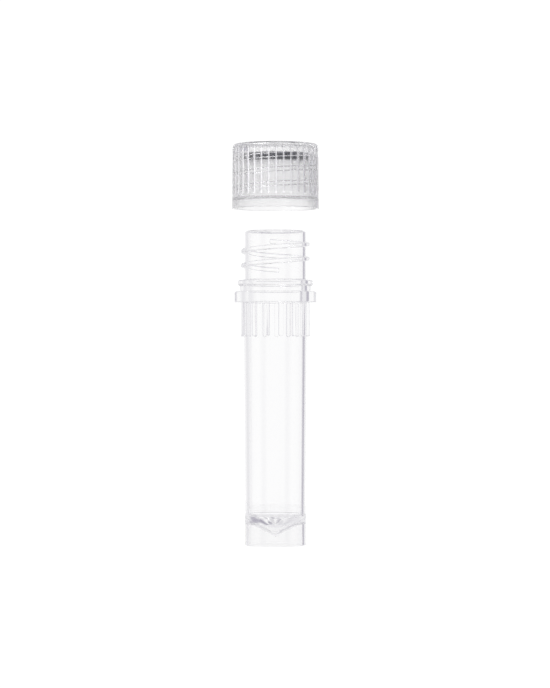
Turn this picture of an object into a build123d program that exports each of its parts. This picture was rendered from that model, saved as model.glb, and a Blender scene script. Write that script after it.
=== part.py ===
from build123d import *
import math
import os

# A self-standing microcentrifuge tube with its screw cap and sealing ring, in millimetres.
# +Z is up along the tube's axis. The origin is the centre of the foot, on the surface the tube stands on.
# Angles are about +Z, counted from +X. The cap is stored unscrewed, hovering above the mouth.

# ---- Driving dimensions of the tube ----
tube_height = 46.15
rim_bore_radius = 4.10
floor_bore_radius = 3.84
body_foot_radius = 4.40         # outside of the body just above the skirt
body_shoulder_radius = 4.68     # outside of the body just under the flange
neck_radius = 4.56
rim_bevel_height = 0.26         # the mouth slopes in from the neck to a narrow land, which presses on the seal
rim_land = 0.12
rim_bevel_round = 0.10
rim_land_round = 0.05

# ---- Skirt and the conical floor inside it ----
skirt_radius = 4.48
skirt_height = 4.60             # where the skirt's outside steps in to the body
skirt_step = 0.08
foot_bore_radius = 4.00
skirt_bore_radius = 3.95
foot_round = 0.12
floor_edge_height = 4.28        # edge of the conical floor, inside
underside_edge_height = 3.16    # edge of the cone, underneath
floor_cone_angle = 29.0         # degrees from level, inside
floor_tip_radius = 0.75         # where the floor turns into its steeper point
floor_tip_angle = 48.0
underside_cone_angle = 25.0
underside_tip_radius = 0.80
underside_tip_angle = 33.5

# ---- Grip ribs under the flange ----
rib_count = 15
rib_width = 0.70
rib_outer_radius = 5.07
rib_bottom = 30.6
rib_phase = 279.4               # one rib's angle
rib_facing = 0.10               # stock left on a rib before it is faced to its radius

# ---- Flange and collar ----
flange_radius = 6.05
flange_bottom = 35.6
flange_top = 37.2
flange_round = 0.15
collar_radius = 5.25
collar_top = 38.07
stop_ring_radius = 5.55
stop_ring_top = 38.90
stop_ring_round = 0.27
neck_root_round = 0.15

# ---- Screw thread, right-hand, one start ----
pitch = 2.10
male_crest_radius = 5.05
male_root_width = 0.72
male_crest_width = 0.55
male_start_height = 40.463      # centre of the ridge at its lower end
male_start_angle = 82.8
male_turns = 2.05
female_minor_radius = 4.82
female_root_width = 0.72
female_crest_width = 0.55
female_start = 2.00             # height of the ridge's lower end over the cap's lower edge
female_end = 8.45               # its upper end, inside the cap's top wall
female_drop = 0.330             # how far the cap's ridge is below the middle of the tube's gap
crest_round = 0.18
thread_sink = 0.15              # how far each ridge is let into its wall

# ---- Cap, with heights measured from its lower edge ----
cap_height = 9.50
cap_band_radius = 6.40
cap_band_top = 1.30
cap_rib_bottom_radius = 6.36
cap_rib_top_radius = 6.31
cap_groove_bottom = 1.95
cap_groove_top = 8.80
cap_groove_count = 36
cap_groove_phase = 270.9
cap_groove_radius = 0.28
cap_groove_depth = 0.13
cap_top_round = 0.45
cap_lip_round = 0.10
mouth_radius = 5.66             # the plain recess at the cap's mouth, wider than the stop ring
mouth_depth = 1.13
cap_bore_radius = 5.20
cap_bore_start = 1.59
ceiling_height = 8.05
plug_radius = 3.60              # the plug in the middle of the ceiling, which keeps the sealing ring in place
plug_bottom = 6.85
plug_round = 0.15
gate_dimple_radius = 0.80       # the moulding gate's shallow dimple in the cap's top, with its nub
gate_dimple_depth = 0.15
gate_nub_radius = 0.25
gate_nub_height = 0.10

# ---- Sealing ring ----
seal_section_radius = 0.55
seal_centre_radius = 4.23       # over the rim, between the plug and the cap's last turn of thread
seal_gap = 0.03                 # between the ring and the cap's ceiling

# ---- Where the cap hovers ----
hover_height = 49.40            # the cap's lower edge


def slope(degrees):
    """Rise over run of a line at this angle from level."""
    return math.tan(math.radians(degrees))


def turned(outline):
    """Solid of revolution about Z from a closed outline of (radius, height, corner round) points."""
    points = [(radius, height) for radius, height, _ in outline]
    rounds = [corner for _, _, corner in outline]
    section = make_face(FilletPolyline(*points, radius=rounds, close=True))
    return revolve(Plane.XZ * section, Axis.Z)


def thread_ridge(root_radius, crest_radius, root_width, crest_width, start_height, start_angle, turns):
    """One helical ridge of trapezoid section, let into the wall at its root, with a rounded crest."""
    outward = math.copysign(1, crest_radius - root_radius)
    flank = (root_width - crest_width) / 2 / abs(crest_radius - root_radius)
    buried_half = root_width / 2 + flank * thread_sink
    buried = root_radius - outward * thread_sink
    points = [
        (buried, -buried_half),
        (crest_radius, -crest_width / 2),
        (crest_radius, crest_width / 2),
        (buried, buried_half),
    ]
    section = make_face(FilletPolyline(*points, radius=[0, crest_round, crest_round, 0], close=True))
    path = Helix(pitch, pitch * turns, root_radius)
    ridge = sweep(Plane.XZ * section, path, is_frenet=True)
    return Pos(0, 0, start_height) * Rot(0, 0, start_angle) * ridge


def tube_shell():
    """The tube's turned form: skirt, conical floor, body, flange, collar and neck."""
    floor_tip_height = floor_edge_height - (floor_bore_radius - floor_tip_radius) * slope(floor_cone_angle)
    floor_apex = floor_tip_height - floor_tip_radius * slope(floor_tip_angle)
    under_tip_height = (
        underside_edge_height - (skirt_bore_radius - underside_tip_radius) * slope(underside_cone_angle)
    )
    under_apex = under_tip_height - underside_tip_radius * slope(underside_tip_angle)
    return turned([
        (0, under_apex, 0),
        (underside_tip_radius, under_tip_height, 0),
        (skirt_bore_radius, underside_edge_height, 0),
        (foot_bore_radius, 0, foot_round),
        (skirt_radius, 0, foot_round),
        (skirt_radius, skirt_height - skirt_step, 0),
        (body_foot_radius, skirt_height, 0),
        (body_shoulder_radius, flange_bottom, 0),
        (flange_radius, flange_bottom, flange_round),
        (flange_radius, flange_top, flange_round),
        (collar_radius, flange_top, 0),
        (collar_radius, collar_top, 0),
        (stop_ring_radius, collar_top, stop_ring_round),
        (stop_ring_radius, stop_ring_top, stop_ring_round),
        (neck_radius, stop_ring_top, neck_root_round),
        (neck_radius, tube_height - rim_bevel_height, rim_bevel_round),
        (rim_bore_radius + rim_land, tube_height, rim_land_round),
        (rim_bore_radius, tube_height, rim_land_round),
        (floor_bore_radius, floor_edge_height, 0),
        (floor_tip_radius, floor_tip_height, 0),
        (0, floor_apex, 0),
    ])


def grip_rib():
    """One rib along +X: a flat-topped bar with a rounded lower end, faced to the ribs' common radius."""
    rise = flange_bottom - rib_bottom
    root = body_foot_radius
    bar_face = Rectangle(rib_width, rise - rib_width / 2)
    bar_face = Pos(0, rib_width / 4) * bar_face + Pos(0, rib_width / 2 - rise / 2) * Circle(rib_width / 2)
    plane = Plane(origin=(root, 0, rib_bottom + rise / 2), x_dir=(0, 1, 0), z_dir=(1, 0, 0))
    bar = extrude(plane * bar_face, rib_outer_radius - root + rib_facing)
    facing = Pos(0, 0, rib_bottom) * Cylinder(
        rib_outer_radius, rise, align=(Align.CENTER, Align.CENTER, Align.MIN)
    )
    return bar & facing


def make_tube():
    tube = tube_shell()
    for rib in PolarLocations(0, rib_count, rib_phase):
        tube += rib * grip_rib()
    return tube + thread_ridge(
        neck_radius,
        male_crest_radius,
        male_root_width,
        male_crest_width,
        male_start_height,
        male_start_angle,
        male_turns,
    )


def cap_shell():
    """The cap's turned form, with its lower edge at height 0."""
    return turned([
        (0, plug_bottom, 0),
        (plug_radius, plug_bottom, plug_round),
        (plug_radius, ceiling_height, 0),
        (cap_bore_radius, ceiling_height, 0),
        (cap_bore_radius, cap_bore_start, 0),
        (mouth_radius, mouth_depth, 0),
        (mouth_radius, 0, cap_lip_round),
        (cap_band_radius, 0, cap_lip_round),
        (cap_band_radius, cap_band_top, 0),
        (cap_rib_bottom_radius, cap_groove_bottom, 0),
        (cap_rib_top_radius, cap_height, cap_top_round),
        (gate_dimple_radius, cap_height, 0),
        (gate_dimple_radius, cap_height - gate_dimple_depth, 0),
        (gate_nub_radius, cap_height - gate_dimple_depth, 0),
        (gate_nub_radius, cap_height - gate_dimple_depth + gate_nub_height, 0),
        (0, cap_height - gate_dimple_depth + gate_nub_height, 0),
    ])


def cap_groove():
    """A round-nosed bar along the outside of the cap at +X, which cuts one shallow groove with ball ends."""
    centre = cap_rib_bottom_radius - cap_groove_depth + cap_groove_radius
    lean = math.degrees(math.atan2(cap_rib_bottom_radius - cap_rib_top_radius, cap_height - cap_groove_bottom))
    length = cap_groove_top - cap_groove_bottom - 2 * cap_groove_radius
    bar = Cylinder(cap_groove_radius, length, align=(Align.CENTER, Align.CENTER, Align.MIN))
    bar += Sphere(cap_groove_radius)
    bar += Pos(0, 0, length) * Sphere(cap_groove_radius)
    return Pos(centre, 0, cap_groove_bottom + cap_groove_radius) * Rot(0, -lean, 0) * bar


def female_start_angle():
    """Angle of the cap ridge's lower end that lets it run in the gap between the tube's turns."""
    ridge_height = male_start_height + pitch / 2 - female_drop - hover_height
    turns_away = (female_start - ridge_height) / pitch
    return male_start_angle + 360 * turns_away


def make_cap():
    cap = cap_shell()
    for groove in PolarLocations(0, cap_groove_count, cap_groove_phase):
        cap -= groove * cap_groove()
    cap += thread_ridge(
        cap_bore_radius,
        female_minor_radius,
        female_root_width,
        female_crest_width,
        female_start,
        female_start_angle(),
        (female_end - female_start) / pitch,
    )
    return Pos(0, 0, hover_height) * cap


def make_seal():
    centre_height = hover_height + ceiling_height - seal_gap - seal_section_radius
    return Pos(0, 0, centre_height) * Torus(seal_centre_radius, seal_section_radius)


os.makedirs("parts", exist_ok=True)
export_step(make_tube(), "parts/tube_body.step")
export_step(make_cap(), "parts/screw_cap.step")
export_step(make_seal(), "parts/o_ring.step")
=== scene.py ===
import bmesh
import bpy
import math
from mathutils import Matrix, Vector


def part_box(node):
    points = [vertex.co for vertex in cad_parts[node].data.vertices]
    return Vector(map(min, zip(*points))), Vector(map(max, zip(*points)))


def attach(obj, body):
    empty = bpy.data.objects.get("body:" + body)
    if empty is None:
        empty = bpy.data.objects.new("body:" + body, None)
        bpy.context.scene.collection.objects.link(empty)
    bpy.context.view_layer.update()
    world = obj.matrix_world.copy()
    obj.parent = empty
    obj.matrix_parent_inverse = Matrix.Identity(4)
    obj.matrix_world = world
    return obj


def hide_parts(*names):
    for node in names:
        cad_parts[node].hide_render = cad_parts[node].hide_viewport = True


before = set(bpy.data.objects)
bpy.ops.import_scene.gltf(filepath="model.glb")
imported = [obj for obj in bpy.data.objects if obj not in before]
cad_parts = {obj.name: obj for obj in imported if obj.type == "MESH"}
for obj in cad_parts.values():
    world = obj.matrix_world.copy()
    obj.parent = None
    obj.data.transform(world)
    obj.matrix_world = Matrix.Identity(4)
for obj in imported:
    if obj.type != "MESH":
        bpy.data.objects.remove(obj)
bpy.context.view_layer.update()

# A self-standing microcentrifuge tube, with its screw cap and sealing ring hovering above the mouth.
# All lengths are in metres. The pieces are finer meshes of the CAD pieces, for clean refraction.
# Angles are in degrees about +Z, counted from +X, unless a comment says otherwise.
MM = 0.001

# ---- Sizes that the frame gives ----
tube_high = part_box("tube_body")[1]
cap_low, cap_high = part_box("screw_cap")
ring_low, ring_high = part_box("o_ring")
tube_height = tube_high.z
flange_radius = tube_high.x
cap_base = cap_low.z
cap_height = cap_high.z - cap_low.z
cap_band_radius = cap_high.x
ring_section_radius = (ring_high.z - ring_low.z) / 2
ring_centre_radius = ring_high.x - ring_section_radius
ring_height = (ring_high.z + ring_low.z) / 2

# ---- Tube ----
rim_bore_radius = 4.10 * MM
floor_bore_radius = 3.84 * MM
body_foot_radius = 4.40 * MM        # outside of the body just above the skirt
body_shoulder_radius = 4.68 * MM    # outside of the body just under the flange
neck_radius = 4.56 * MM
neck_root_round = 0.15 * MM
rim_bevel_height = 0.26 * MM        # the mouth slopes in from the neck to a narrow land
rim_land = 0.12 * MM
rim_bevel_round = 0.10 * MM
rim_land_round = 0.05 * MM
skirt_radius = 4.48 * MM
skirt_height = 4.60 * MM            # where the skirt's outside steps in to the body
skirt_step = 0.08 * MM
foot_bore_radius = 4.00 * MM
skirt_bore_radius = 3.95 * MM
foot_round = 0.12 * MM
floor_edge_height = 4.28 * MM       # edge of the conical floor, inside
underside_edge_height = 3.16 * MM   # edge of the cone, underneath
floor_cone_angle = 29.0             # from level, inside
floor_tip_radius = 0.75 * MM        # where the floor turns into its steeper point
floor_tip_angle = 48.0
underside_cone_angle = 25.0
underside_tip_radius = 0.80 * MM
underside_tip_angle = 33.5
apex_round = 0.25 * MM              # where the cones turn into their points
flange_bottom = 35.6 * MM
flange_top = 37.2 * MM
flange_round = 0.15 * MM
collar_radius = 5.25 * MM
collar_top = 38.07 * MM
stop_ring_radius = 5.55 * MM
stop_ring_top = 38.90 * MM
stop_ring_round = 0.27 * MM
edge_round = 0.05 * MM              # the small round that moulding leaves on most other edges

# ---- Grip ribs under the flange ----
rib_count = 15
rib_width = 0.70 * MM
rib_outer_radius = 5.07 * MM
rib_bottom = 30.6 * MM
rib_phase = 279.4                   # one rib's angle
rib_round = 0.09 * MM
rib_sink = 0.3 * MM                 # how far each rib is let into the body and the flange

# ---- Screw thread, right-hand, one start ----
pitch = 2.10 * MM
male_crest_radius = 5.05 * MM
male_start_height = 40.463 * MM     # centre of the ridge at its lower end
male_start_angle = 82.8
male_turns = 2.05
female_minor_radius = 4.82 * MM
female_start = 2.00 * MM            # height of the ridge's lower end over the cap's lower edge
female_end = 8.45 * MM              # its upper end, inside the cap's top wall
female_drop = 0.330 * MM            # how far the cap's ridge is below the middle of the tube's gap
ridge_root_width = 0.72 * MM
ridge_crest_width = 0.55 * MM
crest_round = 0.18 * MM
thread_sink = 0.15 * MM             # how far each ridge is let into its wall
ridge_end_round = 0.10 * MM

# ---- Cap, with heights measured from its lower edge ----
cap_band_top = 1.30 * MM
cap_rib_bottom_radius = 6.36 * MM
cap_rib_top_radius = 6.31 * MM
cap_groove_bottom = 1.95 * MM
cap_groove_top = 8.80 * MM
cap_groove_count = 36
cap_groove_phase = 270.9            # one groove's angle
cap_groove_radius = 0.28 * MM
cap_groove_depth = 0.13 * MM
cap_top_round = 0.45 * MM
cap_lip_round = 0.10 * MM
mouth_radius = 5.66 * MM            # the plain recess at the cap's mouth, wider than the stop ring
mouth_depth = 1.13 * MM
cap_bore_radius = 5.20 * MM
cap_bore_start = 1.59 * MM
ceiling_height = 8.05 * MM
plug_radius = 3.60 * MM             # the plug in the middle of the ceiling, which keeps the ring in place
plug_bottom = 6.85 * MM
plug_round = 0.15 * MM
gate_dimple_radius = 0.80 * MM      # the moulding gate's shallow dimple in the cap's top, with its nub
gate_dimple_depth = 0.15 * MM
gate_nub_radius = 0.25 * MM
gate_nub_height = 0.10 * MM
cap_lean = (cap_rib_bottom_radius - cap_rib_top_radius) / (cap_height - cap_groove_bottom)
groove_spacing = 2 * math.pi / cap_groove_count

# ---- Flash line round the ring ----
flash_height = 0.012 * MM
flash_width = 0.035                 # as a share of the ring's section radius

# ---- Mesh density ----
support = 0.05 * MM                 # rows kept this close to each corner hold the walls' shading straight
support_room = 3 * support          # a stretch shorter than this takes no such row
round_step = math.radians(11)       # the widest step along a rounded corner
sharp_angle = math.radians(28)      # edges that turn more than this are shaded sharp
tube_columns = 360
rib_edge_steps = 6
rib_end_steps = 16
ridge_columns = 320                 # in one turn of thread
ridge_end_steps = 5
groove_columns = [-2.4, -2.0, -1.5, -1.0, -0.5, 0, 0.5, 1.0, 1.5, 2.0, 2.4]    # from each groove's middle
rib_columns = [4.1, 5.9]            # the same, on the rib beside it
groove_end_rows = [0.04 * MM, 0.09 * MM, 0.15 * MM, 0.22 * MM, 0.28 * MM]       # from each groove's ends
ring_columns = 240
ring_rows = 56
floor_corners = 96

# ---- Finish ----
white = (1, 1, 1, 1)
plastic_ior = 1.49
cloud_colour = (0.999, 0.998, 1, 1)
frosted_cloud_colour = (0.99, 0.985, 1, 1)
cap_milk = 25                       # density of the fine haze in the cap's plastic, per metre
cap_inside_satin = 0.26             # how much rougher the cap's inside and top are than its grooved side
frost_half_angle = 0.8              # the frosted bottom of a groove, to either side of its middle
rubber_ior = 1.5
rubber_base_colour = (0.024, 0.026, 0.040, 1)
rubber_bloom_colour = (0.042, 0.045, 0.064, 1)
rubber_roughness = (0.34, 0.5)
rubber_grain = 0.25                 # strength of the rubber's relief
bump_depth = 0.01 * MM              # depth of every relief at full strength

# Marks on the surfaces, as (stretch along each axis, scale per metre, detail)
plastic_clouds = ((1, 1, 0.5), 400, 3)
plastic_polish = ((1, 1, 0.3), 900, 4)
plastic_marks = ((1, 1, 0.06), 2600, 2)
rubber_clouds = ((1, 1, 1), 1500, 4)
rubber_polish = ((1, 1, 1), 2500, 4)
rubber_marks = ((1, 1, 1), 9000, 2)
noise_span = (0.3, 0.7)             # the part of the noise that the marks use

# ---- Studio ----
# The plastic is lit by a white room with grey flags. A camera looking past the object doesn't see that room:
# it sees a white panel straight behind the tube, with pale grey paper round the panel.
room_levels = [                     # degrees to the right of straight behind the tube, and brightness
    (-180, 0.86),
    (-144, 0.86),
    (-138, 0.58),
    (-122, 0.58),
    (-114, 0.95),
    (-60, 0.92),
    (-43, 0.80),
    (-33, 0.79),
    (-20, 0.90),
    (-12, 1.0),
    (25, 0.98),
    (32, 0.44),
    (41, 0.44),
    (50, 0.80),
    (114, 0.92),
    (122, 0.58),
    (138, 0.58),
    (144, 0.86),
    (180, 0.86),
]
height_levels = [(-0.6, 0.85), (-0.15, 1.0), (0.15, 1.0), (0.6, 0.90)]  # sine of the elevation, brightness
shade_tint = (1.0, 1.03, 0.91)      # how much of each colour the darker parts lose
panel_level = 1.08
panel_bearings = (9, 26)            # degrees to either side, where the panel starts to fade and where it ends
panel_heights = (0.15, 0.36)        # the same upwards and downwards, as the sine of the angle
paper_colour = (0.68, 0.68, 0.69)   # the room round the panel
softbox_size = 320 * MM
softbox_place = Vector((-260, -270, 310)) * MM
softbox_aim = Vector((0, 0, 40)) * MM
softbox_watts = 1.8
floor_radius = 120 * MM
floor_colour = 0.9
floor_cover = 0.12                  # the sheet's white share; the rest lets the light through
floor_drop = 0.03 * MM              # keeps the floor just clear of the foot

# ---- Camera ----
camera_side = -0.07 * MM
camera_distance = 385 * MM
camera_height = 26.5 * MM
aim_height = 29.5 * MM
field_height = 101.176 * MM         # what the frame spans from bottom to top, at the tube's axis
sensor_height = 36.0
clip_start = 10 * MM
light_bounces = 200                 # light runs a long way inside clear walls before it leaves them


def slope(degrees):
    """Rise over run of a line at this angle from level."""
    return math.tan(math.radians(degrees))


def profile_rows(outline):
    """(radius, height) rows along an outline of (radius, height, corner round) points."""
    rows = [Vector(outline[0][:2])]
    for before, corner, after in zip(outline, outline[1:], outline[2:]):
        point, size = Vector(corner[:2]), corner[2]
        back, ahead = Vector(before[:2]) - point, Vector(after[:2]) - point
        back_room, ahead_room = back.length, ahead.length
        back.normalize()
        ahead.normalize()
        turn = math.pi - back.angle(ahead)
        reach = size * math.tan(turn / 2)
        if back_room > reach + support_room:
            rows.append(point + back * (reach + support))
        if size:
            centre = point + (back + ahead).normalized() * (size / math.cos(turn / 2))
            start, end = point + back * reach - centre, point + ahead * reach - centre
            steps = max(2, math.ceil(turn / round_step))
            for step in range(steps + 1):
                share = step / steps
                bend = math.sin((1 - share) * turn) * start + math.sin(share * turn) * end
                rows.append(centre + bend / math.sin(turn))
        else:
            rows.append(point)
        if ahead_room > reach + support_room:
            rows.append(point + ahead * (reach + support))
    rows.append(Vector(outline[-1][:2]))
    return rows


def piece_from(name, vertices, faces):
    """A new object in the scene, with this mesh."""
    mesh = bpy.data.meshes.new(name)
    mesh.from_pydata([tuple(v) for v in vertices], [], faces)
    mesh.update()
    piece = bpy.data.objects.new(name, mesh)
    bpy.context.scene.collection.objects.link(piece)
    return piece


def face_outward(piece):
    """Turn every face of a closed piece to look out of it."""
    work = bmesh.new()
    work.from_mesh(piece.data)
    bmesh.ops.recalc_face_normals(work, faces=work.faces)
    work.to_mesh(piece.data)
    work.free()


def turned(name, outline, angles, wall_radius=None):
    """Closed surface of revolution about Z. wall_radius(angle, radius, height) may cut into it."""
    rows = profile_rows(outline)
    count = len(angles)
    vertices = [(0, 0, rows[0].y), (0, 0, rows[-1].y)]
    for radius, height in rows[1:-1]:
        for angle in angles:
            r = wall_radius(angle, radius, height) if wall_radius else radius
            vertices.append((r * math.cos(angle), r * math.sin(angle), height))
    faces = []
    last = 2 + (len(rows) - 3) * count
    for i in range(count):
        j = (i + 1) % count
        faces.append((0, 2 + j, 2 + i))
        faces.append((1, last + i, last + j))
        for start in range(2, last, count):
            faces.append((start + i, start + j, start + count + j, start + count + i))
    return piece_from(name, vertices, faces)


def strung(name, rings):
    """Closed surface through rings of equally many points, closed at both ends by flat faces."""
    count = len(rings[0])
    vertices = [point for ring in rings for point in ring]
    faces = [tuple(range(count)), tuple(range(len(vertices) - count, len(vertices)))]
    for start in range(0, len(vertices) - count, count):
        for i in range(count):
            j = (i + 1) % count
            faces.append((start + i, start + j, start + count + j, start + count + i))
    piece = piece_from(name, vertices, faces)
    face_outward(piece)
    return piece


def combined(piece, tools):
    """piece joined with each closed tool into one closed surface."""
    for tool in tools:
        modifier = piece.modifiers.new("union", "BOOLEAN")
        modifier.operation = "UNION"
        modifier.solver = "MANIFOLD"
        modifier.object = tool
        graph = bpy.context.evaluated_depsgraph_get()
        mesh = bpy.data.meshes.new_from_object(piece.evaluated_get(graph))
        piece.modifiers.clear()
        piece.data = mesh
        bpy.data.objects.remove(tool)
    return piece


def shaded(piece):
    """piece with smooth shading and sharp corners."""
    piece.data.shade_smooth()
    piece.data.set_sharp_from_angle(angle=sharp_angle)
    return piece


def ridge_section(root_radius, crest_radius, inset):
    """(radius, height) points round one section of a thread ridge, drawn in by inset at its ends."""
    outward = math.copysign(1, crest_radius - root_radius)
    rise = abs(crest_radius - root_radius) - inset
    flank = (ridge_root_width - ridge_crest_width) / 2 / abs(crest_radius - root_radius)
    half_root = ridge_root_width / 2 - inset
    half_crest = half_root - flank * rise
    half_buried = half_root + flank * thread_sink
    outline = [
        (-thread_sink, -half_buried, 0),
        (rise, -half_crest, crest_round),
        (rise, half_crest, crest_round),
        (-thread_sink, half_buried, 0),
    ]
    return [(root_radius + outward * reach, height) for reach, height in profile_rows(outline)]


def thread_ridge(name, root_radius, crest_radius, start_height, start_angle, turns):
    """One helical ridge let into its wall, with a rounded crest and rounded ends."""
    steps = round(turns * ridge_columns)
    length = turns * 2 * math.pi * crest_radius
    stations = [length * step / steps for step in range(steps + 1)]
    for step in range(ridge_end_steps):
        offset = ridge_end_round * (1 - math.cos(math.pi / 2 * (step + 0.5) / ridge_end_steps))
        stations += [offset, length - offset]
    rings = []
    for along in sorted(stations):
        short = max(0.0, ridge_end_round - min(along, length - along))
        inset = ridge_end_round - math.sqrt(ridge_end_round ** 2 - short ** 2)
        share = along / length
        angle = math.radians(start_angle) + 2 * math.pi * turns * share
        rise = start_height + pitch * turns * share
        rings.append([
            (radius * math.cos(angle), radius * math.sin(angle), rise + height)
            for radius, height in ridge_section(root_radius, crest_radius, inset)
        ])
    return strung(name, rings)


def grip_rib(name, angle):
    """One rib with a rounded lower end and rounded edges, let into the body and the flange."""
    half = rib_width / 2
    end_height = rib_bottom + half
    top = flange_bottom + rib_sink
    bends = [math.pi * step / rib_end_steps for step in range(rib_end_steps + 1)]
    levels = [(body_foot_radius - rib_sink, 0)]
    for step in range(rib_edge_steps + 1):
        bend = math.pi / 2 * step / rib_edge_steps
        levels.append((
            rib_outer_radius - rib_round * (1 - math.sin(bend)),
            rib_round * (1 - math.cos(bend)),
        ))
    rings = []
    for radius, inset in levels:
        width = half - inset
        outline = [(width, top)]
        outline += [(width * math.cos(bend), end_height - width * math.sin(bend)) for bend in bends]
        outline += [(-width, top)]
        ring = []
        for across, height in outline:
            out = math.sqrt(radius ** 2 - across ** 2)
            ring.append((
                out * math.cos(angle) - across * math.sin(angle),
                out * math.sin(angle) + across * math.cos(angle),
                height,
            ))
        rings.append(ring)
    return strung(name, rings)


def make_tube():
    """The tube's one moulding: skirt, conical floor, body, ribs, flange, collar, neck and thread."""
    floor_tip_height = floor_edge_height - (floor_bore_radius - floor_tip_radius) * slope(floor_cone_angle)
    floor_apex = floor_tip_height - floor_tip_radius * slope(floor_tip_angle)
    under_tip_height = (
        underside_edge_height - (skirt_bore_radius - underside_tip_radius) * slope(underside_cone_angle)
    )
    under_apex = under_tip_height - underside_tip_radius * slope(underside_tip_angle)
    outline = [
        (0, under_apex, 0),
        (support, under_apex + support * slope(underside_tip_angle), edge_round / 2),
        (underside_tip_radius, under_tip_height, apex_round),
        (skirt_bore_radius, underside_edge_height, edge_round),
        (foot_bore_radius, 0, foot_round),
        (skirt_radius, 0, foot_round),
        (skirt_radius, skirt_height - skirt_step, edge_round / 2),
        (body_foot_radius, skirt_height, edge_round / 2),
        (body_shoulder_radius, flange_bottom, edge_round),
        (flange_radius, flange_bottom, flange_round),
        (flange_radius, flange_top, flange_round),
        (collar_radius, flange_top, edge_round),
        (collar_radius, collar_top, edge_round),
        (stop_ring_radius, collar_top, stop_ring_round),
        (stop_ring_radius, stop_ring_top, stop_ring_round),
        (neck_radius, stop_ring_top, neck_root_round),
        (neck_radius, tube_height - rim_bevel_height, rim_bevel_round),
        (rim_bore_radius + rim_land, tube_height, rim_land_round),
        (rim_bore_radius, tube_height, rim_land_round),
        (floor_bore_radius, floor_edge_height, edge_round),
        (floor_tip_radius, floor_tip_height, apex_round),
        (support, floor_apex + support * slope(floor_tip_angle), edge_round / 2),
        (0, floor_apex, 0),
    ]
    angles = [2 * math.pi * i / tube_columns for i in range(tube_columns)]
    tools = [
        grip_rib(f"rib_{i}", math.radians(rib_phase + 360 * i / rib_count)) for i in range(rib_count)
    ]
    tools.append(
        thread_ridge("ridge", neck_radius, male_crest_radius, male_start_height, male_start_angle, male_turns)
    )
    return shaded(combined(turned("clear_tube", outline, angles), tools))


def groove_offset(angle):
    """How far this angle, in radians, is from the middle of the nearest groove."""
    half = groove_spacing / 2
    return (angle - math.radians(cap_groove_phase) + half) % groove_spacing - half


def groove_cut(angle, radius, height):
    """Radius of the cap's outside where its shallow round grooves may cut into the wall."""
    level = height - cap_base
    nose = cap_groove_radius
    low, high = cap_groove_bottom + nose, cap_groove_top - nose
    if radius < cap_rib_top_radius - cap_groove_depth or not low - nose < level < high + nose:
        return radius
    beyond = max(0.0, low - level, level - high)
    bar = math.sqrt(nose ** 2 - beyond ** 2)
    centre = cap_rib_bottom_radius - cap_groove_depth + nose - cap_lean * (level - cap_groove_bottom)
    aside = centre * math.sin(groove_offset(angle))
    if abs(aside) >= bar:
        return radius
    return min(radius, centre * math.cos(groove_offset(angle)) - math.sqrt(bar ** 2 - aside ** 2))


def cap_angles():
    """Columns round the cap, closer together across each groove."""
    return [
        math.radians(cap_groove_phase + 360 / cap_groove_count * groove + offset)
        for groove in range(cap_groove_count)
        for offset in groove_columns + rib_columns
    ]


def make_cap():
    """The cap's one moulding: band, grooved outside, mouth recess, thread, plug and gate dimple."""
    groove_rows = [cap_groove_bottom + step for step in groove_end_rows]
    groove_rows += [cap_groove_top - step for step in reversed(groove_end_rows)]
    outline = [
        (0, plug_bottom, 0),
        (plug_radius, plug_bottom, plug_round),
        (plug_radius, ceiling_height, edge_round),
        (cap_bore_radius, ceiling_height, edge_round),
        (cap_bore_radius, cap_bore_start, edge_round),
        (mouth_radius, mouth_depth, edge_round),
        (mouth_radius, 0, cap_lip_round),
        (cap_band_radius, 0, cap_lip_round),
        (cap_band_radius, cap_band_top, edge_round / 2),
        (cap_rib_bottom_radius, cap_groove_bottom, 0),
        *((cap_rib_bottom_radius - cap_lean * (row - cap_groove_bottom), row, 0) for row in groove_rows),
        (cap_rib_top_radius, cap_height, cap_top_round),
        (gate_dimple_radius, cap_height, edge_round),
        (gate_dimple_radius, cap_height - gate_dimple_depth, edge_round),
        (gate_nub_radius, cap_height - gate_dimple_depth, edge_round / 2),
        (gate_nub_radius, cap_height - gate_dimple_depth + gate_nub_height, edge_round / 2),
        (0, cap_height - gate_dimple_depth + gate_nub_height, 0),
    ]
    raised = [(radius, height + cap_base, size) for radius, height, size in outline]
    gap_height = male_start_height + pitch / 2 - female_drop - cap_base
    ridge = thread_ridge(
        "cap_ridge",
        cap_bore_radius,
        female_minor_radius,
        cap_base + female_start,
        male_start_angle + 360 * (female_start - gap_height) / pitch,
        (female_end - female_start) / pitch,
    )
    return shaded(combined(turned("ribbed_cap", raised, cap_angles(), groove_cut), [ridge]))


def make_ring():
    """The seal, with the fine flash line that its mould leaves round the outside and inside."""
    vertices, faces = [], []
    for i in range(ring_columns):
        angle = 2 * math.pi * i / ring_columns
        for j in range(ring_rows):
            turn = 2 * math.pi * j / ring_rows
            flash = flash_height * math.exp(-(math.sin(turn) / flash_width) ** 2)
            section = ring_section_radius - flash_height + flash
            radius = ring_centre_radius + section * math.cos(turn)
            vertices.append((
                radius * math.cos(angle),
                radius * math.sin(angle),
                ring_height + section * math.sin(turn),
            ))
            here, beside = i * ring_rows, (i + 1) % ring_columns * ring_rows
            above = (j + 1) % ring_rows
            faces.append((here + j, beside + j, beside + above, here + above))
    piece = piece_from("seal_ring", vertices, faces)
    face_outward(piece)
    return shaded(piece)


def node_adder(owner):
    """Empty a material's or a world's node tree, and return a function that adds a node to it.

    The function takes each of the node's inputs as a value, or as the output that feeds it.
    """
    owner.use_nodes = True
    tree = owner.node_tree
    tree.nodes.clear()

    def add(kind, inputs=None, **settings):
        node = tree.nodes.new(kind)
        for key, value in settings.items():
            setattr(node, key, value)
        for key, value in (inputs or {}).items():
            if isinstance(value, bpy.types.NodeSocket):
                tree.links.new(value, node.inputs[key])
            else:
                node.inputs[key].default_value = value
        return node

    return add


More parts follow.
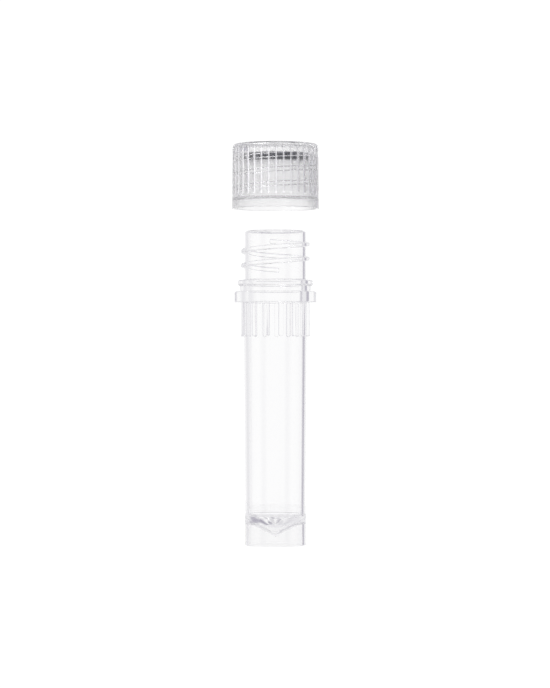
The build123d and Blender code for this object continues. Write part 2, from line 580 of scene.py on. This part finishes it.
def noise_field(add, marks, low, high):
    """Smooth noise over the object's own coordinates, mapped to low..high."""
    stretch, scale, detail = marks
    coords = add("ShaderNodeTexCoord").outputs["Object"]
    place = add("ShaderNodeMapping", {"Vector": coords, "Scale": stretch}).outputs["Vector"]
    noise = add("ShaderNodeTexNoise", {"Vector": place, "Scale": scale, "Detail": detail})
    spread = add("ShaderNodeMapRange", {
        "Value": noise.outputs["Fac"],
        "From Min": noise_span[0],
        "From Max": noise_span[1],
        "To Min": low,
        "To Max": high,
    })
    return spread.outputs["Result"]


def blended(add, share, first, second):
    """A colour between two, by share."""
    mix = add("ShaderNodeMix", {"Factor": share, "A": first, "B": second}, data_type="RGBA")
    return mix.outputs["Result"]


def bumped(add, height, strength):
    """The surface's direction over a fine relief."""
    bump = add("ShaderNodeBump", {"Height": height, "Strength": strength, "Distance": bump_depth})
    return bump.outputs["Normal"]


def inside_share(add):
    """1 on the cap's inside and flat top and 0 on its grooved side, from the distance to the axis."""
    coords = add("ShaderNodeTexCoord").outputs["Object"]
    level = add("ShaderNodeMapping", {"Vector": coords, "Scale": (1, 1, 0)}).outputs["Vector"]
    reach = add("ShaderNodeVectorMath", {0: level}, operation="LENGTH").outputs["Value"]
    share = add("ShaderNodeMapRange", {
        "Value": reach,
        "From Min": cap_rib_top_radius - 2 * cap_groove_depth,
        "From Max": mouth_radius,
    })
    return share.outputs["Result"]


def polypropylene(name, clarity, cloud, roughness, grain, inside_satin=0, milk=0):
    """Natural polypropylene: clear, with a little cloud in it, and drawn marks along the mould's axis."""
    material = bpy.data.materials.new(name)
    add = node_adder(material)
    polish = noise_field(add, plastic_polish, *roughness)
    if inside_satin:
        satin = {0: inside_share(add), 1: inside_satin, 2: polish}
        polish = add("ShaderNodeMath", satin, operation="MULTIPLY_ADD").outputs["Value"]
    shader = add("ShaderNodeBsdfPrincipled", {
        "IOR": plastic_ior,
        "Transmission Weight": clarity,
        "Base Color": blended(add, noise_field(add, plastic_clouds, 0, 1), white, cloud),
        "Roughness": polish,
        "Normal": bumped(add, noise_field(add, plastic_marks, 0, 1), grain),
    }, distribution="MULTI_GGX")
    ends = {"Surface": shader.outputs["BSDF"]}
    if milk:
        haze = add("ShaderNodeVolumeScatter", {"Color": white, "Density": milk})
        ends["Volume"] = haze.outputs["Volume"]
    add("ShaderNodeOutputMaterial", ends)
    return material


def rubber(name):
    """Dark elastomer with a fine matt grain."""
    material = bpy.data.materials.new(name)
    add = node_adder(material)
    bloom = noise_field(add, rubber_clouds, 0, 1)
    shader = add("ShaderNodeBsdfPrincipled", {
        "IOR": rubber_ior,
        "Base Color": blended(add, bloom, rubber_base_colour, rubber_bloom_colour),
        "Roughness": noise_field(add, rubber_polish, *rubber_roughness),
        "Normal": bumped(add, noise_field(add, rubber_marks, 0, 1), rubber_grain),
    })
    add("ShaderNodeOutputMaterial", {"Surface": shader.outputs["BSDF"]})
    return material


def frost_grooves(piece):
    """Give the bottoms of the cap's outside grooves the piece's second material."""
    low, high = cap_base + cap_groove_bottom, cap_base + cap_groove_top
    outside = (mouth_radius + cap_band_radius) / 2
    half_angle = math.radians(frost_half_angle)
    for face in piece.data.polygons:
        x, y, z = face.center
        in_wall = math.hypot(x, y) > outside and low < z < high
        if in_wall and abs(groove_offset(math.atan2(y, x))) < half_angle:
            face.material_index = 1


def placed(piece, node, body, slot, *materials):
    """Give a piece its materials, and let it stand for a node of the frame."""
    piece.data.materials.clear()
    for material in materials:
        piece.data.materials.append(material)
    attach(piece, body)
    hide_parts(node)


def ramped(add, value, low, high, levels):
    """A slightly tinted grey that follows (place, brightness) levels as value runs from low to high."""
    share = add("ShaderNodeMapRange", {"Value": value, "From Min": low, "From Max": high})
    ramp = add("ShaderNodeValToRGB", {"Fac": share.outputs["Result"]})
    elements = ramp.color_ramp.elements
    while len(elements) < len(levels):
        elements.new(1.0)
    for element, (place, level) in zip(elements, levels):
        element.position = (place - low) / (high - low)
        element.color = (*(1 - (1 - level) * loss for loss in shade_tint), 1)
    return ramp.outputs["Color"]


def faded(add, value, start, end):
    """1 while value is within start of 0, falling smoothly to 0 at end."""
    size = add("ShaderNodeMath", {0: value}, operation="ABSOLUTE")
    limits = {"From Min": start, "From Max": end, "To Min": 1, "To Max": 0}
    fade = add("ShaderNodeMapRange", {"Value": size.outputs[0], **limits}, interpolation_type="SMOOTHSTEP")
    return fade.outputs["Result"]


def build_room():
    """The world: rays straight from the camera see the panel and its paper, and all others see the room."""
    world = bpy.data.worlds.new("studio")
    add = node_adder(world)
    split = add("ShaderNodeSeparateXYZ", {0: add("ShaderNodeTexCoord").outputs["Generated"]})
    height = split.outputs["Z"]
    across = {0: split.outputs["X"], 1: split.outputs["Y"]}
    bearing = add("ShaderNodeMath", across, operation="ARCTAN2").outputs[0]

    round_levels = [(math.radians(degrees), level) for degrees, level in room_levels]
    around = ramped(add, bearing, -math.pi, math.pi, round_levels)
    upward = ramped(add, height, -1, 1, height_levels)
    walls = add(
        "ShaderNodeMix", {"Factor": 1, "A": around, "B": upward}, data_type="RGBA", blend_type="MULTIPLY"
    )
    room = add("ShaderNodeBackground", {"Color": walls.outputs["Result"]})

    fade_bearings = [math.radians(degrees) for degrees in panel_bearings]
    fades = {0: faded(add, bearing, *fade_bearings), 1: faded(add, height, *panel_heights)}
    panel = add("ShaderNodeMath", fades, operation="MULTIPLY").outputs[0]
    seen = blended(add, panel, (*paper_colour, 1), white)
    backdrop = add("ShaderNodeBackground", {"Color": seen, "Strength": panel_level})

    either = add("ShaderNodeMixShader", {
        "Fac": add("ShaderNodeLightPath").outputs["Is Camera Ray"],
        1: room.outputs[0],
        2: backdrop.outputs[0],
    })
    add("ShaderNodeOutputWorld", {"Surface": either.outputs[0]})
    return world


def build_softbox(piece):
    """A large soft light from the upper left in front, linked so that it falls on this piece only."""
    light = bpy.data.lights.new("softbox", "AREA")
    light.shape = "DISK"
    light.size = softbox_size
    light.energy = softbox_watts
    softbox = bpy.data.objects.new("softbox", light)
    bpy.context.scene.collection.objects.link(softbox)
    softbox.location = softbox_place
    softbox.rotation_euler = (softbox_aim - softbox_place).to_track_quat("-Z", "Y").to_euler()
    lit = bpy.data.collections.new("softbox_lit")
    lit.objects.link(piece)
    softbox.light_linking.receiver_collection = lit


def build_floor():
    """A thin round sheet just under the foot, which lets most of the light through."""
    angles = [2 * math.pi * i / floor_corners for i in range(floor_corners)]
    edge = [(floor_radius * math.cos(a), floor_radius * math.sin(a), -floor_drop) for a in angles]
    floor = piece_from("floor", edge, [tuple(range(floor_corners))])
    material = bpy.data.materials.new("floor_sheet")
    add = node_adder(material)
    paper = add("ShaderNodeBsdfDiffuse", {"Color": (floor_colour, floor_colour, floor_colour, 1)})
    both = add("ShaderNodeMixShader", {
        "Fac": floor_cover,
        1: add("ShaderNodeBsdfTransparent").outputs[0],
        2: paper.outputs[0],
    })
    add("ShaderNodeOutputMaterial", {"Surface": both.outputs[0]})
    floor.data.materials.append(material)


def build_camera():
    """A long lens in front of the tube, level with its body, looking along +Y."""
    lens = bpy.data.cameras.new("camera")
    lens.sensor_fit = "VERTICAL"
    lens.sensor_height = sensor_height
    lens.lens = sensor_height * camera_distance / field_height
    lens.clip_start = clip_start
    camera = bpy.data.objects.new("camera", lens)
    bpy.context.scene.collection.objects.link(camera)
    camera.location = (camera_side, -camera_distance, camera_height)
    aim = Vector((camera_side, 0, aim_height)) - camera.location
    camera.rotation_euler = aim.to_track_quat("-Z", "Y").to_euler()
    return camera


# ---- The object ----
placed(
    make_tube(), "tube_body", "tube", "tube_polypropylene",
    polypropylene(
        "clear_polypropylene", clarity=1.0, cloud=cloud_colour, roughness=(0.015, 0.05), grain=0.03
    ),
)
cap_piece = make_cap()
placed(
    cap_piece, "screw_cap", "cap", "cap_polypropylene",
    polypropylene(
        "milky_polypropylene", clarity=1.0, cloud=cloud_colour, roughness=(0.07, 0.13), grain=0.02,
        inside_satin=cap_inside_satin, milk=cap_milk,
    ),
    polypropylene(
        "frosted_polypropylene", clarity=0.45, cloud=frosted_cloud_colour, roughness=(0.4, 0.5), grain=0.1,
        milk=cap_milk,
    ),
)
frost_grooves(cap_piece)
placed(make_ring(), "o_ring", "seal", "seal_rubber", rubber("dark_rubber"))

# ---- The studio ----
scene = bpy.context.scene
scene.world = build_room()
build_softbox(cap_piece)
build_floor()
scene.camera = build_camera()
scene.view_settings.view_transform = "Standard"
scene.cycles.max_bounces = light_bounces
scene.cycles.transmission_bounces = light_bounces
scene.cycles.glossy_bounces = light_bounces
scene.cycles.diffuse_bounces = light_bounces
scene.cycles.volume_bounces = light_bounces
